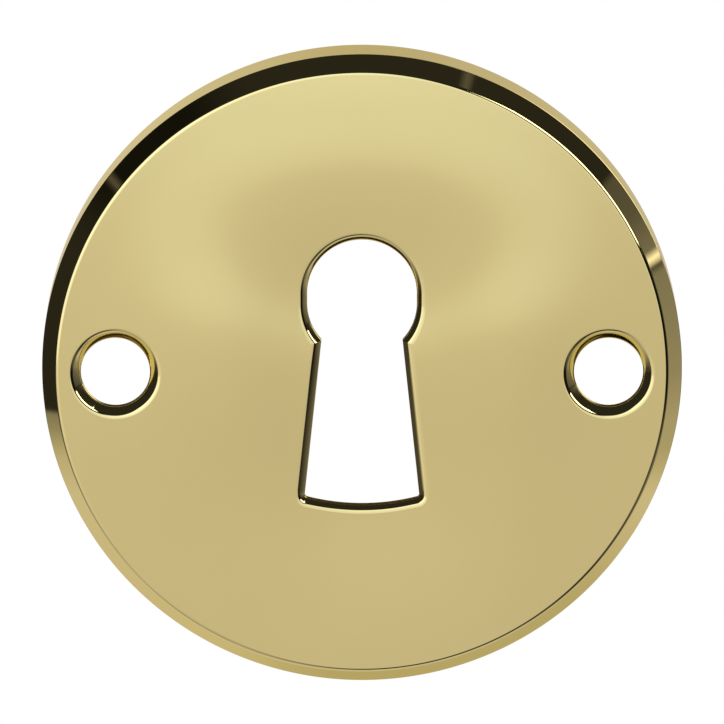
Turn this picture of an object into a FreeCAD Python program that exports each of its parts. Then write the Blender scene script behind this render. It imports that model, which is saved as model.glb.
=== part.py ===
import FreeCAD, Part

import math
import os

import Sketcher

# Round keyhole escutcheon, pressed from one brass sheet.
# Frame: millimetres, +Z up, and the front faces -Y. The plane y = 0 is where the rim meets the door,
# and the origin is the centre of the disc on that plane.

SIZES = {
    # the disc and the sheet that it is pressed from
    "plate_dia": 50.0,
    "plate_rise": 6.0,
    "sheet_gauge": 1.0,
    "bevel_width": 1.15,
    "bevel_drop": 1.6,
    # the rim's edges, from the face to the lip that meets the door
    "face_edge_round": 0.4,
    "rim_edge_round": 0.3,
    "lip_edge_break": 0.15,
    "inner_bend_round": 0.5,
    # the two countersunk screw holes on the level diameter
    "screw_inset": 5.75,
    "screw_bore": 5.4,
    "screw_sink": 0.74,
    "screw_edge_round": 0.5,
    # the keyhole: an upright round for the key's shank over a flaring slot for its bit
    "key_round_dia": 8.56,
    "key_round_up": 6.26,
    "key_round_stretch": 0.84,
    "key_neck_width": 6.33,
    "key_foot_width": 9.0,
    "key_foot_down": 10.6,
    "key_corner_round": 0.25,
    "key_edge_round": 0.85,
}

NODE = "escutcheon_plate"
SAME_PLACE = 1e-4


def new_document():
    """A document with the driving sizes in a sheet, one alias to a row."""
    doc = FreeCAD.newDocument("escutcheon")
    sheet = doc.addObject("Spreadsheet::Sheet", "sizes")
    for row, (alias, value) in enumerate(SIZES.items(), start=1):
        sheet.set(f"A{row}", alias)
        sheet.set(f"B{row}", repr(value))
        sheet.setAlias(f"B{row}", alias)
    doc.recompute()
    return doc


def new_body(doc, label):
    body = doc.addObject("PartDesign::Body", label)
    body.Label = label
    body.Placement = FreeCAD.Placement()
    return body


def origin_feature(body, role):
    return next(item for item in body.Origin.OriginFeatures if item.Role == role)


# Sketch helpers: place 1 is a line's or arc's start, 2 its end and 3 an arc's centre

START, END, CENTRE = range(1, 4)
LEVEL_AXIS, UPRIGHT_AXIS = range(-1, -3, -1)
ORIGIN_POINT = (LEVEL_AXIS, START)


def new_sketch(body, name, plane_role):
    sketch = body.newObject("Sketcher::SketchObject", name)
    sketch.AttachmentSupport = (origin_feature(body, plane_role), [""])
    sketch.MapMode = "FlatFace"
    return sketch


def join(sketch, kind, *places):
    """Adds a constraint that has no size, such as two points that meet."""
    sketch.addConstraint(Sketcher.Constraint(kind, *places))


def measure(sketch, name, formula, kind, *places):
    """Adds a dimension with a name, worked out from the sheet of sizes."""
    size = sketch.evalExpression(formula)
    index = sketch.addConstraint(Sketcher.Constraint(kind, *places, float(size)))
    sketch.renameConstraint(index, name)
    sketch.setExpression(f"Constraints.{name}", formula)


# Edges are found by where they lie, so that they are found again after a change of size

def edge_names(shape, wanted):
    """The names of the shape's edges for which wanted(edge) is true."""
    return [f"Edge{number}" for number, edge in enumerate(shape.Edges, start=1) if wanted(edge)]


def ring(depth, radius, across=0.0):
    """Matches the full circles of this radius about an axis along Y, at this depth and distance across."""

    def wanted(edge):
        curve = edge.Curve
        if not isinstance(curve, Part.Circle):
            return False
        centre = curve.Center
        offsets = (curve.Radius - radius, centre.y - depth, centre.x - across, centre.z)
        return all(abs(offset) < SAME_PLACE for offset in offsets)

    return wanted


def either(first, second):
    return lambda edge: first(edge) or second(edge)


def front_outline(shape, depth, most_edges=1):
    """Matches the front face's inner outline that has more edges than a plain round hole."""
    front = next(
        face
        for face in shape.Faces
        if isinstance(face.Surface, Part.Plane)
        and abs(face.BoundBox.YMin - depth) < SAME_PLACE
        and abs(face.BoundBox.YMax - depth) < SAME_PLACE
    )
    outline = next(
        wire
        for wire in front.Wires
        if not wire.isSame(front.OuterWire) and len(wire.Edges) > most_edges
    )
    return lambda edge: any(edge.isSame(part) for part in outline.Edges)


def work_edges(body, kind, size_name, name, wanted, formula):
    """Works the matched edges of the body as it stands, with a size from the sheet."""
    base = body.Tip
    edges = edge_names(base.Shape, wanted)
    if not edges:
        raise ValueError(f"{name}: no edge is at the place that it works")
    feature = body.newObject(kind, name)
    feature.Base = (base, edges)
    feature.setExpression(size_name, formula)
    body.Document.recompute()
    return feature


def round_off(body, name, wanted, formula):
    return work_edges(body, "PartDesign::Fillet", "Radius", name, wanted, formula)


def slope_off(body, name, wanted, formula):
    return work_edges(body, "PartDesign::Chamfer", "Size", name, wanted, formula)


# The pressed shell: a disc with a bevelled rim, hollow at the back

def draw_shell_section(body, sizes):
    """Half section of the sheet from axis to rim: the sketch's x is the radius and its y the depth."""
    gauge = sizes["sheet_gauge"]
    rim = sizes["plate_dia"] / 2
    front = -sizes["plate_rise"]
    bevel_start = rim - sizes["bevel_width"]
    bevel_end = front + sizes["bevel_drop"]
    slant = math.atan2(sizes["bevel_drop"], sizes["bevel_width"])
    corners = [
        (0, front),
        (bevel_start, front),
        (rim, bevel_end),
        (rim, 0),
        (rim - gauge, 0),
        (rim - gauge, bevel_end + gauge * math.tan((math.pi / 2 - slant) / 2)),
        (bevel_start - gauge * math.tan(slant / 2), front + gauge),
        (0, front + gauge),
    ]
    points = [FreeCAD.Vector(x, y, 0) for x, y in corners]
    sketch = new_sketch(body, "shell_section", "XY_Plane")
    for start, end in zip(points, points[1:] + points[:1]):
        sketch.addGeometry(Part.LineSegment(start, end), False)

    face, bevel, wall, lip, inner_wall, inner_bevel, inner_face, axis = range(len(points))
    for line in range(len(points)):
        join(sketch, "Coincident", line, END, (line + 1) % len(points), START)
    for line in (face, lip, inner_face):
        join(sketch, "Horizontal", line)
    for line in (wall, inner_wall, axis):
        join(sketch, "Vertical", line)
    join(sketch, "PointOnObject", face, START, UPRIGHT_AXIS)
    join(sketch, "PointOnObject", wall, END, LEVEL_AXIS)
    join(sketch, "Parallel", inner_bevel, bevel)

    measure(sketch, "rim", "sizes.plate_dia / 2", "DistanceX", *ORIGIN_POINT, wall, END)
    measure(sketch, "rise", "sizes.plate_rise", "DistanceY", face, START, *ORIGIN_POINT)
    measure(sketch, "bevel_across", "sizes.bevel_width", "DistanceX", bevel, START, bevel, END)
    measure(sketch, "bevel_down", "sizes.bevel_drop", "DistanceY", bevel, START, bevel, END)
    measure(sketch, "lip_gauge", "sizes.sheet_gauge", "DistanceX", lip, END, lip, START)
    measure(sketch, "face_gauge", "sizes.sheet_gauge", "DistanceY", axis, END, axis, START)
    measure(sketch, "bevel_gauge", "sizes.sheet_gauge", "Distance", inner_bevel, START, bevel)
    return sketch


def press_shell(body, sizes):
    section = draw_shell_section(body, sizes)
    body.Document.recompute()
    shell = body.newObject("PartDesign::Revolution", "pressed_shell")
    shell.Profile = section
    shell.ReferenceAxis = (section, ["V_Axis"])
    shell.Angle = 360
    body.Document.recompute()
    return shell


# The openings: a screw hole mirrored to the other side, and the keyhole

def cut_through(body, name, outline):
    """Cuts the outline, drawn on the plane of the door, forward through the face."""
    cut = body.newObject("PartDesign::Pocket", name)
    cut.Profile = outline
    cut.Type = "ThroughAll"
    cut.Reversed = True
    body.Document.recompute()
    return cut


def punch_screw_holes(body):
    outline = new_sketch(body, "screw_hole_outline", "XZ_Plane")
    circle = outline.addGeometry(Part.Circle(FreeCAD.Vector(-1, 0, 0), FreeCAD.Vector(0, 0, 1), 1), False)
    join(outline, "PointOnObject", circle, CENTRE, LEVEL_AXIS)
    from_middle = "sizes.plate_dia / 2 - sizes.screw_inset"
    measure(outline, "bore", "sizes.screw_bore", "Diameter", circle)
    measure(outline, "from_middle", from_middle, "DistanceX", circle, CENTRE, *ORIGIN_POINT)
    body.Document.recompute()
    left = cut_through(body, "left_screw_hole", outline)

    both = body.newObject("PartDesign::Mirrored", "right_screw_hole")
    both.Originals = [left]
    both.MirrorPlane = (origin_feature(body, "YZ_Plane"), [""])
    body.Tip = both
    body.Document.recompute()
    return both


def flank_line(sizes):
    """The slot's right side: its neck, the sharp corner that it runs to, and its slope from upright."""
    radius = sizes["key_round_dia"] / 2
    half_neck = sizes["key_neck_width"] / 2
    half_foot = sizes["key_foot_width"] / 2
    low = sizes["key_round_up"] - sizes["key_round_stretch"]
    sweep = sizes["key_round_up"] + sizes["key_foot_down"]
    neck = (half_neck, low - math.sqrt(radius**2 - half_neck**2))
    corner = (half_foot, sizes["key_round_up"] - math.sqrt(sweep**2 - half_foot**2))
    slope = math.atan2(corner[0] - neck[0], neck[1] - corner[1])
    return neck, corner, slope


def foot_corner_centre(sizes):
    """Centre of the rounding that touches the right flank and the foot from inside the slot."""
    neck, corner, slope = flank_line(sizes)
    radius = sizes["key_corner_round"]
    up = sizes["key_round_up"]
    reach = up + sizes["key_foot_down"] - radius
    # a point beside the sharp corner, one radius in from the flank, and the flank's own direction
    inset = (corner[0] - radius * math.cos(slope), corner[1] - radius * math.sin(slope))
    along = (-math.sin(slope), math.cos(slope))
    # how far to go along the flank's direction to be at the foot's sweep less one radius
    toward = inset[0] * along[0] + (inset[1] - up) * along[1]
    beyond = inset[0] ** 2 + (inset[1] - up) ** 2 - reach**2
    step = -toward - math.sqrt(toward**2 - beyond)
    return inset[0] + step * along[0], inset[1] + step * along[1]


def draw_keyhole(body, sizes):
    """The keyhole's outline: over the top of the round, down the left, along the foot and up the right."""
    radius = sizes["key_round_dia"] / 2
    corner_radius = sizes["key_corner_round"]
    up = sizes["key_round_up"]
    low = up - sizes["key_round_stretch"]
    sweep = up + sizes["key_foot_down"]
    neck, corner, slope = flank_line(sizes)
    neck_turn = math.acos(neck[0] / radius)
    bend = foot_corner_centre(sizes)
    foot_turn = math.atan2(up - bend[1], bend[0])
    flank_end = (bend[0] + corner_radius * math.cos(slope), bend[1] + corner_radius * math.sin(slope))

    def arc(centre, arc_radius, start, end):
        circle = Part.Circle(FreeCAD.Vector(*centre, 0), FreeCAD.Vector(0, 0, 1), arc_radius)
        return Part.ArcOfCircle(circle, start, end)

    def line(start, end):
        return Part.LineSegment(FreeCAD.Vector(*start, 0), FreeCAD.Vector(*end, 0))

    def left(point):
        return -point[0], point[1]

    pieces = [
        arc((0, up), radius, 0, math.pi),
        line((-radius, up), (-radius, low)),
        arc((0, low), radius, math.pi, math.pi + neck_turn),
        line(left(neck), left(flank_end)),
        arc(left(bend), corner_radius, math.pi - slope, math.pi + foot_turn),
        arc((0, up), sweep, math.pi + foot_turn, 2 * math.pi - foot_turn),
        arc(bend, corner_radius, -foot_turn, slope),
        line(flank_end, neck),
        arc((0, low), radius, -neck_turn, 0),
        line((radius, low), (radius, up)),
    ]
    crown, left_side, left_cheek, left_flank, left_corner = range(5)
    foot, right_corner, right_flank, right_cheek, right_side = range(5, 10)
    sketch = new_sketch(body, "keyhole_outline", "XZ_Plane")
    for piece in pieces:
        sketch.addGeometry(piece, False)
    left_tip = sketch.addGeometry(Part.Point(FreeCAD.Vector(*left(corner), 0)), True)
    right_tip = sketch.addGeometry(Part.Point(FreeCAD.Vector(*corner, 0)), True)

    sharp = ((left_cheek, left_flank), (right_flank, right_cheek))
    for piece in range(len(pieces)):
        following = (piece + 1) % len(pieces)
        kind = "Coincident" if (piece, following) in sharp else "Tangent"
        join(sketch, kind, piece, END, following, START)
    for side in (left_side, right_side):
        join(sketch, "Vertical", side)
    for upper_arc in (crown, left_cheek):
        join(sketch, "PointOnObject", upper_arc, CENTRE, UPRIGHT_AXIS)
    join(sketch, "Coincident", right_cheek, CENTRE, left_cheek, CENTRE)
    join(sketch, "Coincident", foot, CENTRE, crown, CENTRE)
    for tip, flank in ((left_tip, left_flank), (right_tip, right_flank)):
        join(sketch, "PointOnObject", tip, START, flank)
        join(sketch, "PointOnObject", tip, START, foot)

    half_neck = "sizes.key_neck_width / 2"
    half_foot = "sizes.key_foot_width / 2"
    measure(sketch, "crown_up", "sizes.key_round_up", "DistanceY", *ORIGIN_POINT, crown, CENTRE)
    measure(sketch, "crown_radius", "sizes.key_round_dia / 2", "Radius", crown)
    measure(sketch, "stretch", "sizes.key_round_stretch", "DistanceY", left_cheek, CENTRE, crown, CENTRE)
    measure(sketch, "foot_sweep", "sizes.key_round_up + sizes.key_foot_down", "Radius", foot)
    measure(sketch, "left_neck", half_neck, "DistanceX", left_cheek, END, *ORIGIN_POINT)
    measure(sketch, "right_neck", half_neck, "DistanceX", *ORIGIN_POINT, right_cheek, START)
    measure(sketch, "left_foot", half_foot, "DistanceX", left_tip, START, *ORIGIN_POINT)
    measure(sketch, "right_foot", half_foot, "DistanceX", *ORIGIN_POINT, right_tip, START)
    measure(sketch, "left_round", "sizes.key_corner_round", "Radius", left_corner)
    measure(sketch, "right_round", "sizes.key_corner_round", "Radius", right_corner)
    return sketch


def punch_keyhole(body, sizes):
    outline = draw_keyhole(body, sizes)
    body.Document.recompute()
    return cut_through(body, "keyhole", outline)


# The worked edges, from the rim inwards

def work_rim(body, sizes):
    front = -sizes["plate_rise"]
    bevel_end = front + sizes["bevel_drop"]
    rim = sizes["plate_dia"] / 2
    gauge = sizes["sheet_gauge"]
    slant = math.atan2(sizes["bevel_drop"], sizes["bevel_width"])
    inner_bend_radius = rim - sizes["bevel_width"] - gauge * math.tan(slant / 2)
    inner_bend_depth = bevel_end + gauge * math.tan((math.pi / 2 - slant) / 2)
    inner_rim = rim - gauge
    lip_outer = ring(0, rim)
    lip_inner = ring(0, inner_rim)
    bend_at_face = ring(front + gauge, inner_bend_radius)
    bend_at_wall = ring(inner_bend_depth, inner_rim)
    round_off(body, "face_edge", ring(front, rim - sizes["bevel_width"]), "sizes.face_edge_round")
    round_off(body, "rim_edge", ring(bevel_end, rim), "sizes.rim_edge_round")
    slope_off(body, "lip_edges", either(lip_outer, lip_inner), "sizes.lip_edge_break")
    round_off(body, "inner_bends", either(bend_at_face, bend_at_wall), "sizes.inner_bend_round")


def countersink_screw_holes(body, sizes):
    """Slopes the mouth of both holes, then rounds the edge where the slope meets the face."""
    front = -sizes["plate_rise"]
    bore = sizes["screw_bore"] / 2
    mouth = bore + sizes["screw_sink"]
    across = sizes["plate_dia"] / 2 - sizes["screw_inset"]
    bores = either(ring(front, bore, -across), ring(front, bore, across))
    slope_off(body, "screw_sinks", bores, "sizes.screw_sink")
    mouths = either(ring(front, mouth, -across), ring(front, mouth, across))
    round_off(body, "screw_sink_edges", mouths, "sizes.screw_edge_round")


def round_keyhole(body, sizes):
    outline = front_outline(body.Tip.Shape, -sizes["plate_rise"])
    round_off(body, "keyhole_edge", outline, "sizes.key_edge_round")


def make_plate(doc, sizes):
    body = new_body(doc, NODE)
    press_shell(body, sizes)
    work_rim(body, sizes)
    punch_screw_holes(body)
    punch_keyhole(body, sizes)
    countersink_screw_holes(body, sizes)
    round_keyhole(body, sizes)
    return body


# Checks before anything is written

def check_document(doc):
    for item in doc.Objects:
        wrong = {"Invalid", "Error"} & set(item.State)
        if wrong:
            raise RuntimeError(f"{item.Name} is in state {sorted(wrong)}")
        if item.TypeId == "Sketcher::SketchObject" and item.solve() != 0:
            raise RuntimeError(f"{item.Name} has constraints that can't all hold")


def check_solid(part):
    shape = part.Shape
    if shape.isNull() or not shape.isValid() or len(shape.Solids) != 1:
        raise RuntimeError(f"{part.Label} isn't one valid solid")


def main():
    doc = new_document()
    plate = make_plate(doc, SIZES)
    doc.recompute()
    check_document(doc)
    check_solid(plate)
    os.makedirs("parts", exist_ok=True)
    plate.Shape.exportStep(f"parts/{plate.Label}.step")
    box = plate.Shape.optimalBoundingBox()
    print(f"{plate.Label}: {plate.Shape.Volume:.2f} mm3, {len(plate.Shape.Faces)} faces")
    print(f"x {box.XMin:.3f} to {box.XMax:.3f}, y {box.YMin:.3f} to {box.YMax:.3f}, "
          f"z {box.ZMin:.3f} to {box.ZMax:.3f}")


main()
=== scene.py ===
import logging
import math
from dataclasses import dataclass, field
from enum import Enum
from typing import Callable, Mapping, Protocol, Sequence

import bpy
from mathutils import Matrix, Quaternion, Vector
from mathutils.geometry import delaunay_2d_cdt


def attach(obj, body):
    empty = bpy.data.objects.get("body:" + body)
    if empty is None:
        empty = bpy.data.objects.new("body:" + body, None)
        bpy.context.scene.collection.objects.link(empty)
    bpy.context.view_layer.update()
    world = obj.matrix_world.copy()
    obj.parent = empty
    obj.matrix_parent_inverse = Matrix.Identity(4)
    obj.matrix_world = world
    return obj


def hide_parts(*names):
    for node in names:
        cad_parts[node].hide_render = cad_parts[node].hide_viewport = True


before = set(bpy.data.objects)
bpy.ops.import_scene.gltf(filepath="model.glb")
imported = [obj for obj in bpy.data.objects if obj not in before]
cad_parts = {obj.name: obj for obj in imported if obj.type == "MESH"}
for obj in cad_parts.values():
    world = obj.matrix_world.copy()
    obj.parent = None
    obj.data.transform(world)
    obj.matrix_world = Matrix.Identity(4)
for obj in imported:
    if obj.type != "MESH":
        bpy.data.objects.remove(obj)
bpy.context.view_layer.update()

# A round keyhole cover pressed from brass sheet, dressed for a studio picture.
# Sizes are in millimetres, as in the CAD source, and become metres where a mesh is made.

log = logging.getLogger("keyhole_cover")

MM = 0.001
BODY = "root"
CAD_NODE = "escutcheon_plate"

# The fewest steps in a rounded bend, how near to its border a flat's inner points may come, as a
# share of their spacing, and the distance at which two points count as one
LEAST_BEND_STEPS = 3
GRID_MARGIN = 0.45
SAME_PLACE = 1e-7

Flat = tuple[float, float]
Colour = tuple[float, float, float]


def opaque(colour: Colour) -> tuple[float, float, float, float]:
    """A colour in the form that a socket takes."""
    return (*colour, 1.0)


def placed(name: str, data: bpy.types.ID) -> bpy.types.Object:
    """A new object of the scene that holds this data."""
    made = bpy.data.objects.new(name, data)
    bpy.context.scene.collection.objects.link(made)
    return made


# Lines on the plate: profiles across the sheet, and rings along it


@dataclass(frozen=True)
class Station:
    """A place on a profile: its distance out from an outline, its depth, and the way the metal faces."""

    out: float
    depth: float
    facing: Flat


@dataclass(frozen=True)
class Corner:
    """A corner of a profile before it is rounded."""

    out: float
    depth: float
    radius: float = 0.0


Stretch = list[Station]


def facing_of(way: Flat) -> Flat:
    """The side that the metal faces where its profile runs this way."""
    return way[1], -way[0]


def rounded_profile(corners: Sequence[Corner], arc_steps: int = 14) -> list[Stretch]:
    """Turns a cornered profile into straight stretches with arcs between them.

    Args:
        corners: The corners in order. The first and last are plain ends.
        arc_steps: How many steps a quarter turn is divided into.

    Returns:
        Straight and curved stretches in turn. Each begins where the one before it ends.
    """
    stretches: list[Stretch] = []
    start = Vector((corners[0].out, corners[0].depth))
    for before, corner, after in zip(corners, corners[1:], corners[2:]):
        apex = Vector((corner.out, corner.depth))
        arriving = (apex - Vector((before.out, before.depth))).normalized()
        leaving = (Vector((after.out, after.depth)) - apex).normalized()
        turn = math.atan2(arriving.x * leaving.y - arriving.y * leaving.x, arriving.dot(leaving))
        reach = corner.radius * math.tan(abs(turn) / 2)
        bend_start = apex - arriving * reach
        stretches.append(straight_stretch(start, bend_start))
        start = apex + leaving * reach
        if corner.radius > 0:
            stretches.append(arc_stretch(bend_start, arriving, turn, corner.radius, arc_steps))
    end = Vector((corners[-1].out, corners[-1].depth))
    stretches.append(straight_stretch(start, end))
    return stretches


def straight_stretch(start: Vector, end: Vector) -> Stretch:
    """A straight run between two points of a profile."""
    facing = facing_of((end - start).normalized())
    return [Station(start.x, start.y, facing), Station(end.x, end.y, facing)]


def arc_stretch(start: Vector, way: Vector, turn: float, radius: float, arc_steps: int) -> Stretch:
    """A round bend of a profile.

    Args:
        start: Where the bend begins.
        way: The way the profile runs there, as a unit vector.
        turn: How far it turns, in radians, to the left if above zero.
        radius: Radius of the bend.
        arc_steps: How many steps a quarter turn is divided into.

    Returns:
        The stations of the bend, from its first to its last.
    """
    side = math.copysign(1.0, turn)
    centre = start + Vector((-way.y, way.x)) * radius * side
    steps = max(LEAST_BEND_STEPS, math.ceil(arc_steps * abs(turn) / (math.pi / 2)))
    heading = math.atan2(way.y, way.x)
    stretch = []
    for step in range(steps + 1):
        angle = heading + turn * step / steps
        along = (math.cos(angle), math.sin(angle))
        spot = centre + Vector((along[1], -along[0])) * radius * side
        stretch.append(Station(spot.x, spot.y, facing_of(along)))
    return stretch


@dataclass(frozen=True)
class Bend:
    """A step of an opening's edge: its width, and how far the metal is tilted where it ends, in degrees."""

    width: float
    tilt: float


def worn_edge(back: float, front: float, bends: Sequence[Bend], step_angle: float = 3.0) -> list[Stretch]:
    """An opening's section, from its back edge up its bore and then over its bends to the flat.

    Args:
        back: Depth of the sheet's back.
        front: Depth of the sheet's front.
        bends: The bends in order from the flat inwards. The last one ends upright.
        step_angle: The most degrees that one facet turns.

    Returns:
        The bore and then the bends, the innermost first.
    """
    out = sum(bend.width for bend in bends)
    depth, tilt = front, 0.0
    stretches: list[Stretch] = []
    for bend in bends:
        end = math.radians(bend.tilt)
        radius = bend.width / (math.sin(end) - math.sin(tilt))
        steps = max(LEAST_BEND_STEPS, math.ceil(math.degrees(end - tilt) / step_angle))
        angles = [tilt + (end - tilt) * step / steps for step in range(steps + 1)]
        stretch = [
            Station(
                out - radius * (math.sin(angle) - math.sin(tilt)),
                depth + radius * (math.cos(tilt) - math.cos(angle)),
                (-math.sin(angle), -math.cos(angle)),
            )
            for angle in angles
        ]
        stretches.insert(0, stretch[::-1])
        out, depth, tilt = stretch[-1].out, stretch[-1].depth, end
    bore = straight_stretch(Vector((out, back)), Vector((out, depth)))
    return [bore, *stretches]


@dataclass(frozen=True)
class Mark:
    """A point on an outline in the plate's plane, with the way out from the outline there."""

    x: float
    z: float
    outward: Flat


@dataclass(frozen=True)
class Ring:
    """A closed line at one distance from an outline.

    Each side runs from a place to the next one, and keeps the way out at both its ends, because
    the two sides that meet at a sharp corner point different ways.
    """

    places: list[Flat]
    sides: list[tuple[Flat, Flat]]
    shares: list[float] | None = None

    def share(self, place: int) -> float:
        """How far the profile reaches out at a place, as a share of its full width."""
        return self.shares[place] if self.shares else 1.0


def ring_from_runs(runs: Sequence[Sequence[Mark]]) -> Ring:
    """Joins runs of marks, each starting where the last one ends, into a closed ring."""
    places: list[Flat] = []
    sides: list[tuple[Flat, Flat]] = []
    for run in runs:
        for here, there in zip(run, run[1:]):
            places.append((here.x, here.z))
            sides.append((here.outward, there.outward))
    return Ring(places, sides)


def arc_run(centre: Flat, radius: float, start: float, end: float, steps: int) -> list[Mark]:
    """Marks along an arc, between two angles in radians, facing away from its centre."""
    run = []
    for step in range(steps + 1):
        angle = start + (end - start) * step / steps
        outward = (math.cos(angle), math.sin(angle))
        run.append(Mark(centre[0] + radius * outward[0], centre[1] + radius * outward[1], outward))
    return run


def line_run(start: Flat, end: Flat, outward: Flat, steps: int) -> list[Mark]:
    """Marks along a straight line that all face one way."""
    return [
        Mark(
            start[0] + (end[0] - start[0]) * step / steps,
            start[1] + (end[1] - start[1]) * step / steps,
            outward,
        )
        for step in range(steps + 1)
    ]


class Outline(Protocol):
    """A closed shape in the plate's plane."""

    def ring(self, out: float) -> Ring:
        """The line that runs round the shape at a distance outside it."""


@dataclass(frozen=True)
class RoundOutline:
    """A circle, which may have no radius of its own when a profile is swept about an axis."""

    across: float = 0.0
    radius: float = 0.0
    sides: int = 128

    def ring(self, out: float) -> Ring:
        """The circle that lies this far outside."""
        return ring_from_runs([arc_run((self.across, 0.0), self.radius + out, 0, 2 * math.pi, self.sides)])


@dataclass(frozen=True)
class KeyholeOutline:
    """The keyhole: an upright round over a slot that flares to a curved foot.

    Its edge is worn over the full width along the slot's sides, and over a share of it at the round
    and at the foot. A fade says how far up or down that begins, and how softly.
    """

    round_radius: float = 4.28
    round_up: float = 6.26
    stretch: float = 0.84
    half_neck: float = 3.165
    half_foot: float = 4.5
    foot_down: float = 10.6
    corner_radius: float = 0.25
    round_share: float = 0.83
    round_fade: Flat = (2.5, 2.5)
    foot_share: float = 0.76
    foot_fade: Flat = (9.8, 0.5)
    upper_round_steps: int = 40
    upright_steps: int = 3
    lower_round_steps: int = 18
    side_steps: int = 36
    corner_steps: int = 12
    foot_steps: int = 20

    @property
    def low(self) -> float:
        """Height of the centre of the round's lower half."""
        return self.round_up - self.stretch

    @property
    def sweep(self) -> float:
        """Radius of the foot's curve, about the centre of the round's upper half."""
        return self.round_up + self.foot_down

    @property
    def neck(self) -> Flat:
        """The right corner between the round and the slot."""
        return self.half_neck, self.low - math.sqrt(self.round_radius**2 - self.half_neck**2)

    @property
    def slope(self) -> float:
        """How far the slot's sides lean from upright, in radians."""
        tip = (self.half_foot, self.round_up - math.sqrt(self.sweep**2 - self.half_foot**2))
        return math.atan2(tip[0] - self.neck[0], self.neck[1] - tip[1])

    def side_ways(self) -> tuple[Vector, Vector]:
        """The way out from the slot's right side, and the way up along it."""
        out = Vector((math.cos(self.slope), math.sin(self.slope)))
        return out, Vector((-out.y, out.x))

    def bend_centre(self) -> Flat:
        """Centre of the rounding at the slot's lower right corner."""
        side_out, side_up = self.side_ways()
        beside = Vector(self.neck) - side_out * self.corner_radius
        from_round = beside - Vector((0.0, self.round_up))
        toward = from_round.dot(side_up)
        beyond = from_round.length_squared - (self.sweep - self.corner_radius) ** 2
        step = -toward - math.sqrt(toward**2 - beyond)
        centre = beside + side_up * step
        return centre.x, centre.y

    def mitre(self, out: float) -> Flat:
        """Where the round and the slot's right side meet, this far outside the keyhole."""
        side_out, side_up = self.side_ways()
        centre = Vector((0.0, self.low))
        reach = (Vector(self.neck) - centre).dot(side_out) + out
        drop = math.sqrt((self.round_radius + out) ** 2 - reach**2)
        spot = centre + side_out * reach - side_up * drop
        return spot.x, spot.y

    def share(self, height: float) -> float:
        """How wide the worn edge is at a height: fullest along the slot's sides."""
        round_loss = (1 - self.round_share) * soft_step(height, *self.round_fade)
        foot_loss = (1 - self.foot_share) * soft_step(-height, *self.foot_fade)
        return 1 - round_loss - foot_loss

    def ring(self, out: float) -> Ring:
        """The line that lies this far outside the keyhole, and nearer where its edge is less worn."""
        edge, full = self.full_ring(0.0), self.full_ring(out)
        shares = [self.share(z) for _, z in edge.places]
        places = [
            (near[0] + (far[0] - near[0]) * share, near[1] + (far[1] - near[1]) * share)
            for near, far, share in zip(edge.places, full.places, shares)
        ]
        return Ring(places, full.sides, shares)

    def full_ring(self, out: float) -> Ring:
        """The line that lies this far outside, with its points in the same order at any distance."""
        corner = self.mitre(out)
        neck_angle = math.atan2(corner[1] - self.low, corner[0])
        bend = self.bend_centre()
        foot_angle = math.atan2(self.round_up - bend[1], bend[0])
        round_out = self.round_radius + out
        bend_out = self.corner_radius + out
        side_out = (math.cos(self.slope), math.sin(self.slope))
        side_end = (bend[0] + bend_out * side_out[0], bend[1] + bend_out * side_out[1])
        right = [
            arc_run((0.0, self.low), round_out, neck_angle, 0.0, self.lower_round_steps),
            line_run((round_out, self.low), (round_out, self.round_up), (1.0, 0.0), self.upright_steps),
            arc_run((0.0, self.round_up), round_out, 0.0, math.pi / 2, self.upper_round_steps),
        ]
        lower = [
            arc_run((0.0, self.round_up), self.sweep + out, -math.pi / 2, -foot_angle, self.foot_steps),
            arc_run(bend, bend_out, -foot_angle, self.slope, self.corner_steps),
            line_run(side_end, corner, side_out, self.side_steps),
        ]
        return ring_from_runs(right + mirrored(right) + mirrored(lower) + lower)


def soft_step(value: float, edge: float, softness: float) -> float:
    """0 before a soft edge and 1 beyond it."""
    share = min(1.0, max(0.0, (value - edge + softness) / (2 * softness)))
    return share * share * (3 - 2 * share)


def mirrored(runs: Sequence[Sequence[Mark]]) -> list[list[Mark]]:
    """The same runs on the left of the middle plane, in the order that carries the ring on."""
    return [
        [Mark(-mark.x, mark.z, (-mark.outward[0], mark.outward[1])) for mark in reversed(run)]
        for run in reversed(runs)
    ]


# The mesh


class Finish(Enum):
    """What was done to a stretch of the metal, with painted shade in the bores' colour too; the value is its
    material's place on the mesh.
    """

    POLISHED = 0
    AS_PRESSED = 1
    # the bores: a duller punched surface, and painted shade in their darker colour
    AS_PUNCHED_AND_SHADED = 2


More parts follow.
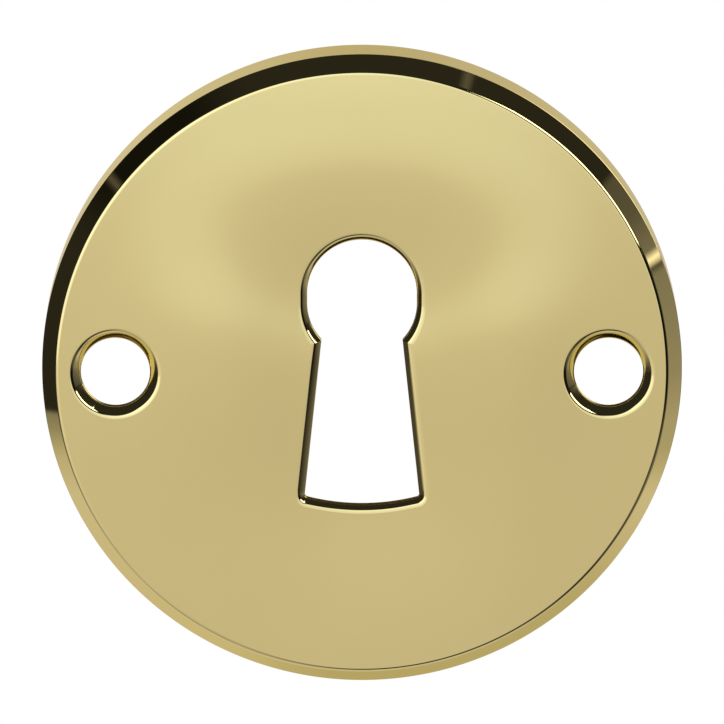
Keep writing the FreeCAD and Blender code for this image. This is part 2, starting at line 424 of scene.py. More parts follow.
@dataclass
class SheetMesh:
    """Gathers the plate's faces, with an exact normal for each corner of each face."""

    sink: Callable[[float, float], tuple[float, Flat]]
    points: list[Vector] = field(default_factory=list)
    edge_marks: list[float] = field(default_factory=list)
    faces: list[list[int]] = field(default_factory=list)
    normals: list[list[Vector]] = field(default_factory=list)
    finishes: list[int] = field(default_factory=list)

    def add_points(self, places: Sequence[Flat], depth: float, edge_mark: float = 0.0) -> list[int]:
        """Adds points at one depth, sunk with the sheet.

        Args:
            places: The points in the plate's plane.
            depth: Their depth before the sheet's own sag is added.
            edge_mark: How much they are on a rounded edge, from 0 to 1.

        Returns:
            The points' numbers.
        """
        first = len(self.points)
        for x, z in places:
            self.points.append(Vector((x, depth + self.sink(x, z)[0], z)))
            self.edge_marks.append(edge_mark)
        return list(range(first, len(self.points)))

    def lean(self, normal: Vector, point: int) -> Vector:
        """The normal at a point once the sheet has sunk there."""
        slope = self.sink(self.points[point].x, self.points[point].z)[1]
        return Vector((normal.x - normal.y * slope[0], normal.y, normal.z - normal.y * slope[1])).normalized()

    def add_face(self, corners: list[int], normals: list[Vector], finish: Finish) -> None:
        """Adds one face, turned so that its front is on the side of its normals."""
        leaned = [self.lean(normal, corner) for normal, corner in zip(normals, corners)]
        a, b, c = (self.points[corner] for corner in corners[:3])
        if (b - a).cross(c - a).dot(sum(leaned, Vector())) < 0:
            corners, leaned = corners[::-1], leaned[::-1]
        self.faces.append(corners)
        self.normals.append(leaned)
        self.finishes.append(finish.value)

    def sweep(
        self, outline: Outline, stretches: Sequence[Stretch], finishes: Sequence[Finish]
    ) -> tuple[list[int], list[int]]:
        """Draws a profile round an outline.

        Args:
            outline: The shape that the profile follows.
            stretches: The profile's stretches, which share their ends.
            finishes: One finish for each stretch.

        Returns:
            The numbers of the first ring's points and of the last one's.
        """
        opening = stretches[0][0]
        first = last = self.add_points(outline.ring(opening.out).places, opening.depth)
        for stretch, finish in zip(stretches, finishes):
            for here, there in zip(stretch, stretch[1:]):
                ring = outline.ring(there.out)
                mark = 1.0 if len(stretch) > 2 and there is not stretch[-1] else 0.0
                following = self.add_points(ring.places, there.depth, mark)
                self.add_strip(ring, last, following, (here.facing, there.facing), finish)
                last = following
        return first, last

    def add_strip(
        self, ring: Ring, near: list[int], far: list[int], facings: tuple[Flat, Flat], finish: Finish
    ) -> None:
        """Adds the band of faces between two rings of the same outline."""
        here, there = facings
        for i, (start_out, end_out) in enumerate(ring.sides):
            j = (i + 1) % len(near)
            corners = [
                (near[i], start_out, here, ring.share(i)),
                (near[j], end_out, here, ring.share(j)),
                (far[j], end_out, there, ring.share(j)),
                (far[i], start_out, there, ring.share(i)),
            ]
            normals = [
                Vector((out[0] * facing[0], facing[1] * share, out[1] * facing[0]))
                for _, out, facing, share in corners
            ]
            self.add_face([corner[0] for corner in corners], normals, finish)

    def add_flat(
        self,
        outer: list[int],
        holes: Sequence[list[int]],
        depth: float,
        facing: float,
        grid_step: float,
        finish: Finish,
    ) -> None:
        """Fills the flat of the sheet between its outer ring and the rings of its holes.

        Args:
            outer: The outer ring's points.
            holes: The points of each hole's ring.
            depth: Depth of the flat before it sinks.
            facing: -1 if it faces forward, 1 if it faces back.
            grid_step: Distance between the points that are laid inside.
            finish: The finish of the flat.
        """
        rings = [outer, *holes]
        shapes = [[(self.points[n].x, self.points[n].z) for n in ring] for ring in rings]
        margin = grid_step * GRID_MARGIN
        inside = [
            place
            for place in lattice(shapes[0], grid_step)
            if is_inside(place, shapes[0])
            and clear_of(place, shapes, margin)
            and not any(is_inside(place, shape) for shape in shapes[1:])
        ]
        numbers = [n for ring in rings for n in ring] + self.add_points(inside, depth)
        places = [Vector(place) for shape in shapes for place in shape] + [Vector(place) for place in inside]
        edges: list[tuple[int, int]] = []
        border = 0
        for ring in rings:
            edges += [(border + i, border + (i + 1) % len(ring)) for i in range(len(ring))]
            border += len(ring)
        spots, _, triangles, sources, _, _ = delaunay_2d_cdt(places, edges, [], 0, SAME_PLACE)
        normal = Vector((0.0, facing, 0.0))
        for triangle in triangles:
            middle = tuple(sum((spots[i] for i in triangle), Vector((0.0, 0.0))) / 3)
            at_border = all(sources[i][0] < border for i in triangle)
            if at_border and any(is_inside(middle, shape) for shape in shapes[1:]):
                continue
            corners = [numbers[sources[i][0]] for i in triangle]
            self.add_face(corners, [normal] * 3, finish)

    def make_object(self, name: str) -> bpy.types.Object:
        """Builds the object, in metres, with its finishes, edge marks and normals."""
        mesh = bpy.data.meshes.new(name)
        mesh.from_pydata([point * MM for point in self.points], [], self.faces)
        mesh.polygons.foreach_set("material_index", self.finishes)
        mesh.polygons.foreach_set("use_smooth", [True] * len(self.faces))
        marks = mesh.attributes.new("edge_mark", "FLOAT", "POINT")
        marks.data.foreach_set("value", self.edge_marks)
        mesh.update()
        mesh.normals_split_custom_set([normal for corners in self.normals for normal in corners])
        if mesh.validate():
            raise ValueError(f"{name} has faces that don't fit together")
        return placed(name, mesh)


def lattice(shape: Sequence[Flat], step: float) -> list[Flat]:
    """Evenly spread points, in rows that are shifted by turns, over a shape's box."""
    low_x, high_x = min(p[0] for p in shape), max(p[0] for p in shape)
    low_z, high_z = min(p[1] for p in shape), max(p[1] for p in shape)
    rise = step * math.sqrt(3) / 2
    rows = int((high_z - low_z) / rise) + 1
    across = int((high_x - low_x) / step) + 1
    return [
        (low_x + (column + row % 2 / 2) * step, low_z + row * rise)
        for row in range(rows + 1)
        for column in range(across + 1)
    ]


def is_inside(place: Flat, shape: Sequence[Flat]) -> bool:
    """Whether a point lies inside a closed shape."""
    x, z = place
    inside = False
    last_x, last_z = shape[-1]
    for here_x, here_z in shape:
        if (here_z > z) != (last_z > z) and x < (last_x - here_x) * (z - here_z) / (last_z - here_z) + here_x:
            inside = not inside
        last_x, last_z = here_x, here_z
    return inside


def clear_of(place: Flat, shapes: Sequence[Sequence[Flat]], margin: float) -> bool:
    """Whether a point keeps this far from every corner of every shape."""
    limit = margin * margin
    return all((place[0] - x) ** 2 + (place[1] - z) ** 2 > limit for shape in shapes for x, z in shape)


# Shader node groups that the finishes share


class Socket(Enum):
    """The kinds of socket that a group has."""

    VALUE = "NodeSocketFloat"
    COLOUR = "NodeSocketColor"


def new_group(name: str, inputs: Mapping[str, Socket], outputs: Mapping[str, Socket]) -> bpy.types.NodeTree:
    """An empty shader node group with its two end nodes.

    Args:
        name: The group's name.
        inputs: The kind of each input, by its name.
        outputs: The kind of each output, by its name.

    Returns:
        The group.
    """
    group = bpy.data.node_groups.new(name, "ShaderNodeTree")
    for in_out, sockets in (("INPUT", inputs), ("OUTPUT", outputs)):
        for socket, kind in sockets.items():
            group.interface.new_socket(name=socket, in_out=in_out, socket_type=kind.value)
    group.nodes.new("NodeGroupInput")
    group.nodes.new("NodeGroupOutput")
    return group


@dataclass
class NodeBench:
    """Adds nodes to one tree and joins them up."""

    tree: bpy.types.NodeTree

    @property
    def given(self) -> Mapping[str, bpy.types.NodeSocket]:
        """What a group is given, by name."""
        return self.tree.nodes["Group Input"].outputs

    def put_out(self, name: str, source: bpy.types.NodeSocket) -> None:
        """Joins an output to one of a group's own."""
        self.feed(self.tree.nodes["Group Output"], name, source)

    def add(
        self, kind: str, feeds: Mapping[str | int, object] | None = None, **settings: object
    ) -> bpy.types.Node:
        """Adds a node.

        Args:
            kind: The node's type.
            feeds: What goes into its sockets, by their names or places.
            **settings: The node's own settings.

        Returns:
            The node.
        """
        node = self.tree.nodes.new(kind)
        for name, value in settings.items():
            setattr(node, name, value)
        for socket, source in (feeds or {}).items():
            self.feed(node, socket, source)
        return node

    def feed(self, node: bpy.types.Node, socket: str | int, source: object) -> None:
        """Joins a socket to an output, or sets it to a plain value."""
        if isinstance(source, bpy.types.NodeSocket):
            self.tree.links.new(source, node.inputs[socket])
        else:
            node.inputs[socket].default_value = source

    def math(self, operation: str, first: object, second: object) -> bpy.types.NodeSocket:
        """One step of arithmetic on two values, each an output or a number."""
        return self.add("ShaderNodeMath", {0: first, 1: second}, operation=operation).outputs[0]

    def span(self, value: object, before: Flat, after: Flat = (0.0, 1.0)) -> bpy.types.NodeSocket:
        """A value moved smoothly from one range to another and kept inside it."""
        feeds = dict(enumerate((value, *before, *after)))
        return self.add("ShaderNodeMapRange", feeds, interpolation_type="SMOOTHSTEP", clamp=True).outputs[0]

    def mix(self, share: object, first: object, second: object) -> bpy.types.NodeSocket:
        """A blend of two colours."""
        return self.add("ShaderNodeMix", {0: share, 6: first, 7: second}, data_type="RGBA").outputs[2]

    def mix_shaders(self, share: object, first: object, second: object) -> bpy.types.NodeSocket:
        """A blend of two shaders."""
        return self.add("ShaderNodeMixShader", {0: share, 1: first, 2: second}).outputs[0]

    def noise(self, place: object, scale: object, detail: float = 2.0) -> bpy.types.NodeSocket:
        """Plain noise over a space."""
        feeds = {"Vector": place, "Scale": scale, "Detail": detail}
        return self.add("ShaderNodeTexNoise", feeds).outputs["Fac"]

    def object_space(self, stretch: Colour = (1.0, 1.0, 1.0), turn: float = 0.0) -> bpy.types.NodeSocket:
        """The object's own coordinates, turned about the plate's axis and then stretched."""
        feeds = {
            "Vector": self.add("ShaderNodeTexCoord").outputs["Object"],
            "Rotation": (0.0, math.radians(turn), 0.0),
            "Scale": stretch,
        }
        return self.add("ShaderNodeMapping", feeds, vector_type="TEXTURE").outputs[0]


SCRATCH_SLANTS = (12.0, -31.0, 74.0)
SCRATCH_STRETCH = (60.0, 1.0, 1.0)
SCRATCH_PEAKS = (0.62, 0.74)
PATCH_SCALE = 180.0
PATCH_RANGE = (0.35, 0.65)
PATCH_SHARES = (0.3, 1.0)


def wiping_scratches_group() -> bpy.types.NodeTree:
    """Hair-fine scratches that cross at a few slants, left by a polishing cloth."""
    group = new_group(
        "wiping_scratches",
        {"Fineness": Socket.VALUE, "Share": Socket.VALUE},
        {"Scratches": Socket.VALUE, "Height": Socket.VALUE},
    )
    bench = NodeBench(group)
    total: object = 0.0
    for slant in SCRATCH_SLANTS:
        fibres = bench.noise(bench.object_space(SCRATCH_STRETCH, slant), bench.given["Fineness"], 1.0)
        total = bench.math("ADD", total, bench.span(fibres, SCRATCH_PEAKS))
    patches = bench.span(bench.noise(bench.object_space(), PATCH_SCALE), PATCH_RANGE, PATCH_SHARES)
    scratches = bench.math("MULTIPLY", bench.math("MULTIPLY", total, patches), bench.given["Share"])
    bench.put_out("Scratches", scratches)
    bench.put_out("Height", bench.math("MULTIPLY", scratches, -1.0))
    return group


DRIFT_RANGE = (0.35, 0.7)
HANDLED_SCALE = 260.0
HANDLED_RANGE = (0.3, 0.7)
HANDLED_SHARES = (0.4, 1.0)


def metal_tone_group() -> bpy.types.NodeTree:
    """Slow drifts of colour in the metal, and the paler tone where its edges are handled."""
    colours = dict.fromkeys(("Metal", "Drifted", "Worn"), Socket.COLOUR)
    values = dict.fromkeys(("Drift Scale", "Wear"), Socket.VALUE)
    group = new_group("metal_tone", colours | values, {"Tone": Socket.COLOUR})
    bench = NodeBench(group)
    given = bench.given
    drift = bench.span(bench.noise(bench.object_space(), given["Drift Scale"], 3.0), DRIFT_RANGE)
    marks = bench.add("ShaderNodeAttribute", attribute_name="edge_mark", attribute_type="GEOMETRY")
    handled = bench.span(bench.noise(bench.object_space(), HANDLED_SCALE, 4.0), HANDLED_RANGE, HANDLED_SHARES)
    edge = bench.math("MULTIPLY", bench.math("MULTIPLY", marks.outputs["Fac"], handled), given["Wear"])
    drifted = bench.mix(drift, given["Metal"], given["Drifted"])
    bench.put_out("Tone", bench.mix(edge, drifted, given["Worn"]))
    return group


# The finishes


@dataclass(frozen=True)
class BrassFinish:
    """How one side of the brass sheet is finished. The bores' darker colour is partly painted shade."""

    name: str
    metal: Colour
    drifted: Colour
    worn: Colour
    grazing: Colour
    roughness: tuple[float, float]
    scratch_share: float
    scratch_depth: float
    fineness: float
    wear: float
    drift_scale: float = 45.0

    def material(self, tone: bpy.types.NodeTree, scratches: bpy.types.NodeTree) -> bpy.types.Material:
        """Builds the finish as a material.

        Args:
            tone: The group that gives the metal's colour.
            scratches: The group that gives its fine scratches.

        Returns:
            The material.
        """
        made = bpy.data.materials.new(self.name)
        made.use_nodes = True
        bench = NodeBench(made.node_tree)
        tones = {
            "Metal": opaque(self.metal),
            "Drifted": opaque(self.drifted),
            "Worn": opaque(self.worn),
            "Drift Scale": self.drift_scale,
            "Wear": self.wear,
        }
        colour = bench.add("ShaderNodeGroup", tones, node_tree=tone)
        wiping = {"Fineness": self.fineness, "Share": self.scratch_share}
        lines = bench.add("ShaderNodeGroup", wiping, node_tree=scratches)
        relief = {"Strength": 1.0, "Distance": self.scratch_depth * MM, "Height": lines.outputs["Height"]}
        bump = bench.add("ShaderNodeBump", relief)
        shader = made.node_tree.nodes["Principled BSDF"]
        shader.inputs["Metallic"].default_value = 1.0
        shader.inputs["Specular Tint"].default_value = opaque(self.grazing)
        bench.feed(shader, "Base Color", colour.outputs["Tone"])
        bench.feed(shader, "Roughness", bench.span(lines.outputs["Scratches"], (0.0, 1.0), self.roughness))
        bench.feed(shader, "Normal", bump.outputs[0])
        return made


POLISHED_BRASS = BrassFinish(
    name="polished_brass",
    metal=(0.58, 0.475, 0.213),
    drifted=(0.565, 0.46, 0.203),
    worn=(0.605, 0.5, 0.232),
    grazing=(0.75, 0.66, 0.38),
    roughness=(0.05, 0.1),
    scratch_share=0.5,
    scratch_depth=0.00002,
    fineness=9000.0,
    wear=0.6,
)

PRESSED_BRASS = BrassFinish(
    name="pressed_brass",
    metal=(0.42, 0.33, 0.15),
    drifted=(0.37, 0.28, 0.12),
    worn=(0.5, 0.4, 0.18),
    grazing=(0.6, 0.5, 0.3),
    roughness=(0.22, 0.36),
    scratch_share=1.0,
    scratch_depth=0.0001,
    fineness=5000.0,
    wear=0.8,
)

# The bores' brass: partly the duller punched surface, partly painted shade. Its colour is darkened so that
# the bores look shaded and their reflections stay dim.
PUNCHED_BRASS_AND_BORE_SHADE = BrassFinish(
    name="punched_brass_and_bore_shade",
    metal=(0.24, 0.18, 0.075),
    drifted=(0.19, 0.14, 0.06),
    worn=(0.3, 0.23, 0.09),
    grazing=(0.3, 0.24, 0.13),
    roughness=(0.16, 0.28),
    scratch_share=1.0,
    scratch_depth=0.00006,
    fineness=7000.0,
    wear=0.5,
)


# The plate


@dataclass(frozen=True)
class Swell:
    """A round hollow in the sheet, or a bulge if its depth is below zero."""

    depth: float
    centre: Flat
    reach: Flat

    def at(self, x: float, z: float) -> tuple[float, float, float]:
        """Its depth at a place, and how the depth grows across and up."""
        across = (x - self.centre[0]) / self.reach[0]
        up = (z - self.centre[1]) / self.reach[1]
        depth = self.depth * math.exp(-(across**2 + up**2))
        return depth, -2 * across / self.reach[0] * depth, -2 * up / self.reach[1] * depth


@dataclass
class EscutcheonPlate:
    """The cover itself: a bevelled disc, hollow behind, with a keyhole and two screw holes."""

    radius: float = 25.0
    rise: float = 6.0
    gauge: float = 1.0
    bevel_width: float = 1.15
    bevel_drop: float = 1.6
    face_edge_round: float = 0.4
    rim_edge_round: float = 0.3
    lip_edge_round: float = 0.15
    inner_bend_round: float = 0.5
    screw_across: float = 19.25
    screw_radius: float = 2.7
    screw_edge: tuple[Bend, ...] = (Bend(0.1, 6.0), Bend(0.26, 40.7), Bend(0.49, 43.7), Bend(0.1, 90.0))
    key_edge: tuple[Bend, ...] = (Bend(0.25, 6.0), Bend(0.21, 33.0), Bend(0.34, 38.5), Bend(0.07, 90.0))
    keyhole: KeyholeOutline = field(default_factory=KeyholeOutline)
    swells: tuple[Swell, ...] = (
        Swell(0.2607, (0.0, 8.27), (8.13, 8.29)),
        Swell(-0.127, (0.0, 13.05), (8.68, 5.52)),
        Swell(0.183, (0.0, -8.74), (8.99, 8.46)),
        Swell(-0.126, (-11.6, 1.13), (6.39, 8.53)),
        Swell(-0.131, (11.6, 1.13), (6.39, 8.53)),
    )
    calm_from: float = 21.0
    calm_to: float = 23.2
    rim_sides: int = 512
    face_grid: float = 0.6
    back_grid: float = 1.0

    def buckle(self, x: float, z: float) -> tuple[float, Flat]:
        """How the sheet has buckled round the keyhole's punch: its depth, and its slope across and up.

        The slope is exact. The depth leaves out what would stand in front of the flat.
        """
        share = (self.calm_to - math.hypot(x, z)) / (self.calm_to - self.calm_from)
        if share <= 0:
            return 0.0, (0.0, 0.0)
        parts = [swell.at(x, z) for swell in self.swells]
        fade = min(1.0, share)
        depth, across, up = (fade * sum(values) for values in zip(*parts))
        return max(0.0, depth), (across, up)

    def rim_profile(self) -> list[Stretch]:
        """The rim's section from the front flat, round the lip, to the back flat."""
        front = -self.rise
        bevel_start = self.radius - self.bevel_width
        bevel_end = front + self.bevel_drop
        slant = math.atan2(self.bevel_drop, self.bevel_width)
        inner_radius = self.radius - self.gauge
        inner_bevel_end = bevel_end + self.gauge * math.tan((math.pi / 2 - slant) / 2)
        inner_bevel_start = bevel_start - self.gauge * math.tan(slant / 2)
        corners = [
            Corner(0.0, front),
            Corner(bevel_start, front, self.face_edge_round),
            Corner(self.radius, bevel_end, self.rim_edge_round),
            Corner(self.radius, 0.0, self.lip_edge_round),
            Corner(inner_radius, 0.0, self.lip_edge_round),
            Corner(inner_radius, inner_bevel_end, self.inner_bend_round),
            Corner(inner_bevel_start, front + self.gauge, self.inner_bend_round),
            Corner(0.0, front + self.gauge),
        ]
        return rounded_profile(corners)[1:-1]

    def build_mesh(self) -> bpy.types.Object:
        """Builds the plate as one closed mesh."""
        sheet = SheetMesh(self.buckle)
        rim = self.rim_profile()
        lip = len(rim) // 2
        finishes = [Finish.POLISHED if i < lip else Finish.AS_PRESSED for i in range(len(rim))]
        front_edge, back_edge = sheet.sweep(RoundOutline(sides=self.rim_sides), rim, finishes)
        back_rings, front_rings = [], []
        openings: list[tuple[Outline, tuple[Bend, ...]]] = [
            (self.keyhole, self.key_edge),
            (RoundOutline(-self.screw_across, self.screw_radius), self.screw_edge),
            (RoundOutline(self.screw_across, self.screw_radius), self.screw_edge),
        ]
        for outline, bends in openings:
            profile = worn_edge(self.gauge - self.rise, -self.rise, bends)
            # the bore takes the punched finish, whose dark colour is partly painted shade
            finishes = [Finish.AS_PUNCHED_AND_SHADED] + [Finish.POLISHED] * len(bends)
            behind, ahead = sheet.sweep(outline, profile, finishes)
            back_rings.append(behind)
            front_rings.append(ahead)
        front, back = -self.rise, self.gauge - self.rise
        sheet.add_flat(front_edge, front_rings, front, -1.0, self.face_grid, Finish.POLISHED)
        sheet.add_flat(back_edge, back_rings, back, 1.0, self.back_grid, Finish.AS_PRESSED)
        return sheet.make_object("escutcheon_plate_sheet")

    def dress(self, piece: bpy.types.Object) -> None:
        """Gives the mesh its finishes, in the order of their values."""
        tone = metal_tone_group()
        scratches = wiping_scratches_group()
        for finish in (POLISHED_BRASS, PRESSED_BRASS, PUNCHED_BRASS_AND_BORE_SHADE):
            piece.data.materials.append(finish.material(tone, scratches))

    def build(self) -> bpy.types.Object:
        """Builds, dresses and mounts the plate in place of its CAD node."""
        piece = self.build_mesh()
        self.dress(piece)
        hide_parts(CAD_NODE)
        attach(piece, BODY)
        return piece


# The studio


def direction(azimuth: float, elevation: float) -> Vector:
    """A unit vector from the plate: azimuth 0 is straight in front, above zero to the right."""
    a, e = math.radians(azimuth), math.radians(elevation)
    return Vector((math.sin(a) * math.cos(e), -math.cos(a) * math.cos(e), math.sin(e)))


Level = tuple[float, Colour]


def grey(level: float) -> Colour:
    """A neutral light of one level."""
    return level, level, level


WHITE = grey(1.0)
DARK = grey(0.036)


def graded(*levels: tuple[float, float | Colour]) -> tuple[Level, ...]:
    """Lights at rising places. One that is given as a single number is neutral."""
    return tuple((place, light if isinstance(light, tuple) else grey(light)) for place, light in levels)


def even(level: float) -> tuple[Level, ...]:
    """A neutral light that is the same everywhere."""
    return graded((0.0, level))


def blend(first: Colour, second: Colour, share: float) -> Colour:
    """A light between two others."""
    return tuple(a + (b - a) * share for a, b in zip(first, second))


def light_between(levels: Sequence[Level], place: float) -> Colour:
    """The light at a place between levels that are given in rising order."""
    if place <= levels[0][0]:
        return levels[0][1]
    for (low, low_light), (high, high_light) in zip(levels, levels[1:]):
        if place <= high:
            return blend(low_light, high_light, (place - low) / (high - low))
    return levels[-1][1]


@dataclass(frozen=True)
class TentPatch:
    """A soft-edged patch on the light tent, painted over the patches before it.

    Angles are in degrees. The light is given by elevation, and by azimuth as a share of that.
    The soft edges are the upright ones, the lower one and the upper one. The upright edges lean
    by so many degrees for each degree of elevation.
    """

    azimuth: Flat
    elevation: Flat
    light: tuple[Level, ...]
    sideways: tuple[Level, ...] = even(1.0)
    soft: tuple[float, float, float] = (1.0, 1.0, 1.0)
    lean: float = 0.0

    def cover(self, azimuth: float, elevation: float) -> float:
        """How much of the patch's light is seen at a place, from 0 to 1."""
        sides, lower, upper = self.soft
        low, high = self.elevation
        if not low - lower < elevation < high + upper:
            return 0.0
        middle = sum(self.azimuth) / 2 + self.lean * elevation
        half = (self.azimuth[1] - self.azimuth[0]) / 2
        off = abs((azimuth - middle + 180) % 360 - 180)
        if off > half + sides:
            return 0.0
        across = 1 - soft_step(off, half, sides)
        return across * soft_step(elevation, low, lower) * (1 - soft_step(elevation, high, upper))

    def paint(self, under: Colour, azimuth: float, elevation: float) -> Colour:
        """Paints the patch over the light that is there."""
        share = self.cover(azimuth, elevation)
        if share == 0:
            return under
        level = light_between(self.light, elevation)
        sideways = light_between(self.sideways, azimuth)
        return blend(under, tuple(a * b for a, b in zip(level, sideways)), share)


@dataclass(frozen=True)
class TentShell:
    """One zone of the light tent, a part of a sphere between two elevations."""

    name: str
    radius: float
    elevation: Flat
    steps: int
    sides: int = 300

    def build(self, patches: Sequence[TentPatch], material: bpy.types.Material) -> None:
        """Builds the zone with its light stored at its points. The camera looks through it."""
        low, high = self.elevation
        points, lights = [], []
        for row in range(self.steps + 1):
            elevation = low + (high - low) * row / self.steps
            for column in range(self.sides):
                azimuth = 360 * column / self.sides - 180
                light = DARK
                for patch in patches:
                    light = patch.paint(light, azimuth, elevation)
                points.append(direction(azimuth, elevation) * self.radius)
                lights.extend((*light, 1.0))
        faces = []
        for row in range(self.steps):
            here, above = row * self.sides, (row + 1) * self.sides
            for column in range(self.sides):
                beside = (column + 1) % self.sides
                faces.append((here + column, here + beside, above + beside, above + column))
        mesh = bpy.data.meshes.new(self.name)
        mesh.from_pydata(points, [], faces)
        stored = mesh.attributes.new("card_light", "FLOAT_COLOR", "POINT")
        stored.data.foreach_set("color", lights)
        mesh.materials.append(material)
        shell = placed(self.name, mesh)
        shell.visible_camera = False
        shell.visible_diffuse = False
        shell.visible_shadow = False


TENT_PATCHES = (
    # the floor, with a dark band left between it and the diffuser
    TentPatch((-180.0, 180.0), (-95.0, -54.0), even(0.95), soft=(1.0, 1.0, 10.0)),
    TentPatch((-108.0, -62.0), (-95.0, -33.0), even(0.92), soft=(16.0, 1.0, 14.0)),
    TentPatch((72.0, 108.0), (-95.0, -28.0), even(0.85), soft=(14.0, 1.0, 12.0)),
    TentPatch(
        (106.0, 254.0),
        (-95.0, -18.8),
        graded((-32.0, (1.06, 1.07, 1.2)), (-26.0, 0.88), (-21.0, 0.48), (-18.8, 0.38)),
        soft=(6.0, 1.0, 0.5),
    ),
    TentPatch((120.0, 200.0), (-80.0, -36.0), even(0.86), soft=(14.0, 8.0, 8.0)),
    TentPatch((-75.0, -8.0), (-66.0, -20.0), graded((-60.0, 0.74), (-30.0, 0.92)), soft=(12.0, 8.0, 2.0)),
    TentPatch(
        (-87.0, -68.0),
        (-54.0, -15.0),
        graded((-50.0, 0.55), (-40.0, 0.42), (-30.0, 0.25), (-20.0, 0.1)),
        soft=(9.0, 7.0, 4.0),
    ),
    TentPatch((-68.0, -10.0), (-60.0, -49.0), even(0.45), soft=(10.0, 3.0, 4.0)),
    # the big diffuser in front, brightest to the left and above
    TentPatch(
        (-64.6, 20.4),
        (-27.0, 41.0),
        graded(
            (-25.0, 0.9),
            (-15.2, 0.965),
            (-13.2, 0.997),
            (-12.6, 1.01),
            (-12.0, 1.015),
            (-11.4, 1.035),
            (-10.8, 1.06),
            (-10.3, (1.13, 1.16, 1.19)),
            (-9.8, (1.25, 1.32, 1.4)),
            (-9.2, (1.33, 1.44, 1.56)),
            (-4.0, (1.38, 1.5, 1.66)),
            (10.0, (1.6, 1.76, 1.95)),
            (40.0, (1.7, 1.88, 2.1)),
        ),
        sideways=graded(
            (-60.0, 1.1),
            (-40.0, 1.3),
            (-25.0, 1.2),
            (-12.0, 1.1),
            (-6.0, 1.025),
            (-3.0, 1.008),
            (0.0, 1.0),
            (3.5, 0.95),
            (8.0, 0.92),
            (18.0, 0.95),
        ),
        soft=(4.0, 6.0, 5.0),
        lean=0.2,
    ),
    # the dark stand between the diffuser and the lamp
    TentPatch(
        (20.0, 70.0),
        (-34.0, 52.0),
        graded((-36.0, 0.26), (-27.0, 0.18), (-21.0, 0.11), (-17.5, 0.05), (-14.5, 0.01), (8.0, 0.01)),
        soft=(5.0, 10.0, 2.0),
        lean=-0.3,
    ),
    # the pale wall to the right, darker above, with a bright slot across it
    TentPatch(
        (84.0, 130.0),
        (-27.0, 7.9),
        graded((-26.0, 0.72), (-20.0, 0.68), (-12.0, 0.5), (7.0, 0.36)),
        soft=(20.0, 5.0, 0.8),
    ),
    TentPatch(
        (82.0, 125.0),
        (7.9, 28.4),
        graded((9.0, 0.1), (11.0, 0.3), (14.0, 0.27), (19.5, 0.17), (28.0, 0.14)),
        soft=(8.0, 0.8, 0.8),
    ),
    TentPatch((94.0, 118.0), (9.2, 10.7), even(2.1), soft=(1.0, 0.6, 0.8)),
    # a darker cloth high on the left
    TentPatch((-122.0, -84.0), (20.0, 56.0), even(0.012), soft=(6.0, 9.0, 9.0)),
    # thin gaps between the tent's cloths
    TentPatch((-114.0, -92.0), (27.0, 28.4), even(0.16), soft=(1.0, 0.6, 0.6)),
    TentPatch((96.0, 120.0), (64.2, 66.0), even(0.16), soft=(1.0, 0.7, 0.7)),
    # behind the plate: a white wall at the right, and the low wall that the rim's top mirrors
    TentPatch(
        (125.0, 163.0), (4.0, 40.0), graded((4.0, 3.0), (20.0, 3.0), (30.0, 1.4)), soft=(1.5, 1.5, 6.0)
    ),
    TentPatch(
        (163.0, 197.0),
        (-18.8, 14.0),
        graded(
            (-12.0, (0.66, 0.58, 0.41)),
            (-4.0, (0.88, 0.83, 0.66)),
            (1.0, (0.98, 0.97, 0.91)),
            (9.0, (0.98, 1.0, 1.15)),
            (12.0, (0.92, 0.92, 1.05)),
        ),
        sideways=graded((-180.0, 0.99), (-168.0, 1.1), (167.0, 1.1), (168.0, 0.95), (180.0, 0.99)),
        soft=(1.5, 0.5, 2.0),
    ),
)


def turn_back(holder: bpy.types.Object, way: Vector, roll: float = 0.0) -> None:
    """Turns a lamp or camera that lies this way from the plate to face it, rolled by so many degrees."""
    holder.rotation_mode = "QUATERNION"
    holder.rotation_quaternion = way.to_track_quat("Z", "Y") @ Quaternion((0, 0, 1), math.radians(roll))


@dataclass(frozen=True)
class SoftLamp:
    """A soft lamp that faces the plate from just inside the tent. Its top leans towards the front."""

    name: str = "right_softbox"
    azimuth: float = 48.5
    elevation: float = 28.8
    distance: float = 1.17
    size: Flat = (0.53, 0.82)
    lean: float = 15.0
    radiance: float = 5.0

    def build(self) -> None:
        """Sets the lamp up."""
        lamp = bpy.data.lights.new(self.name, "AREA")
        lamp.shape = "RECTANGLE"
        lamp.size, lamp.size_y = self.size
        lamp.energy = self.radiance * math.pi * self.size[0] * self.size[1]
        way = direction(self.azimuth, self.elevation)
        holder = placed(self.name, lamp)
        holder.location = way * self.distance
        turn_back(holder, way, self.lean)


def seen_directly(bench: NodeBench) -> bpy.types.NodeSocket:
    """1 for what the camera sees, also by reflection or through glass, and 0 for scattered light."""
    path = bench.add("ShaderNodeLightPath").outputs
    seen_or_mirrored = bench.math("MAXIMUM", path["Is Camera Ray"], path["Is Glossy Ray"])
    return bench.math("MAXIMUM", seen_or_mirrored, path["Is Transmission Ray"])


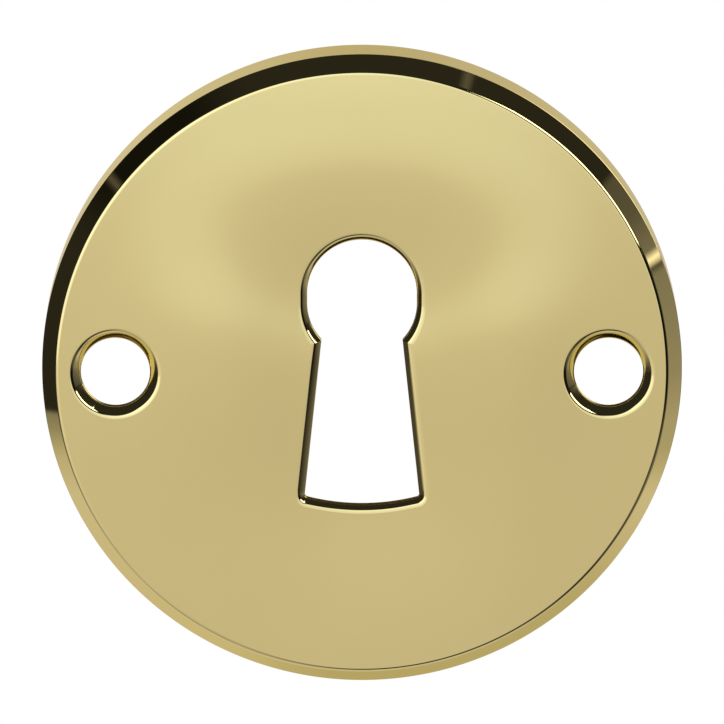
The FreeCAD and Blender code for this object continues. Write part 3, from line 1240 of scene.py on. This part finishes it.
@dataclass
class Studio:
    """The pale floor, the light tent, the lamp and the white world."""

    floor_height: float = -0.5
    floor_half: float = 3.0
    floor_paint: float = 0.85
    floor_roughness: float = 0.8
    world_light: float = 0.9
    lamp: SoftLamp = SoftLamp()
    shells: tuple[TentShell, ...] = (
        TentShell("tent_floor", 0.49, (-90.0, -21.0), 69),
        TentShell("tent_front", 1.3, (-22.0, 2.0), 60),
        TentShell("tent_sides", 1.3, (2.0, 90.0), 110),
    )
    patches: tuple[TentPatch, ...] = TENT_PATCHES

    def card_material(self) -> bpy.types.Material:
        """Card that gives off the light stored at its points."""
        made = bpy.data.materials.new("tent_card")
        made.use_nodes = True
        made.node_tree.nodes.clear()
        bench = NodeBench(made.node_tree)
        stored = bench.add("ShaderNodeAttribute", attribute_name="card_light", attribute_type="GEOMETRY")
        glow = bench.add("ShaderNodeEmission", {"Color": stored.outputs["Color"]})
        bench.add("ShaderNodeOutputMaterial", {"Surface": glow.outputs[0]})
        return made

    def build_world(self) -> None:
        """A world that is white where it is seen and a little softer where it lights."""
        world = bpy.data.worlds.new("studio_white")
        world.use_nodes = True
        world.node_tree.nodes.clear()
        bench = NodeBench(world.node_tree)
        lighting, seen = (
            bench.add("ShaderNodeBackground", {"Color": opaque(WHITE), "Strength": strength}).outputs[0]
            for strength in (self.world_light, 1.0)
        )
        both = bench.mix_shaders(seen_directly(bench), lighting, seen)
        bench.add("ShaderNodeOutputWorld", {"Surface": both})
        bpy.context.scene.world = world

    def floor_material(self) -> bpy.types.Material:
        """Pale paint that shows white where it is seen, and nothing from below."""
        made = bpy.data.materials.new("pale_floor")
        made.use_nodes = True
        bench = NodeBench(made.node_tree)
        paint = made.node_tree.nodes["Principled BSDF"]
        paint.inputs["Base Color"].default_value = opaque(grey(self.floor_paint))
        paint.inputs["Roughness"].default_value = self.floor_roughness
        glow = bench.add("ShaderNodeEmission", {"Color": opaque(WHITE), "Strength": 1.0})
        whitened = bench.mix_shaders(seen_directly(bench), paint.outputs[0], glow.outputs[0])
        clear = bench.add("ShaderNodeBsdfTransparent")
        from_below = bench.add("ShaderNodeNewGeometry").outputs["Backfacing"]
        one_sided = bench.mix_shaders(from_below, whitened, clear.outputs[0])
        bench.feed(made.node_tree.nodes["Material Output"], "Surface", one_sided)
        return made

    def build_floor(self) -> None:
        """A flat floor under the plate."""
        half = self.floor_half
        corners = [(-half, -half), (half, -half), (half, half), (-half, half)]
        mesh = bpy.data.meshes.new("floor")
        mesh.from_pydata([(x, y, self.floor_height) for x, y in corners], [], [(0, 1, 2, 3)])
        mesh.materials.append(self.floor_material())
        placed("floor", mesh)

    def build(self) -> None:
        """Sets up everything round the plate."""
        self.build_world()
        self.build_floor()
        material = self.card_material()
        for shell in self.shells:
            shell.build(self.patches, material)
        self.lamp.build()
        bpy.context.scene.view_settings.view_transform = "Standard"


@dataclass(frozen=True)
class PhotoCamera:
    """A long lens in front of the plate and a little above it."""

    elevation: float = 12.0
    distance: float = 0.784
    lens: float = 500.0
    sensor: float = 36.0
    clip: Flat = (0.05, 20.0)
    aim: tuple[float, float, float] = (0.0, -0.006, 0.00093)

    def build(self) -> None:
        """Sets the camera up and makes it the scene's."""
        data = bpy.data.cameras.new("photo_camera")
        data.lens, data.sensor_width = self.lens, self.sensor
        data.clip_start, data.clip_end = self.clip
        camera = placed("photo_camera", data)
        way = direction(0.0, self.elevation)
        camera.location = Vector(self.aim) + way * self.distance
        turn_back(camera, way)
        bpy.context.scene.camera = camera


def main() -> None:
    """Builds the plate, then the studio and the camera, and reports what was made."""
    logging.basicConfig(level=logging.INFO, format="%(message)s")
    piece = EscutcheonPlate().build()
    log.info("%s: %d points, %d faces", piece.name, len(piece.data.vertices), len(piece.data.polygons))
    Studio().build()
    PhotoCamera().build()
    log.info("studio and camera are set up")


if __name__ == "__main__":
    main()
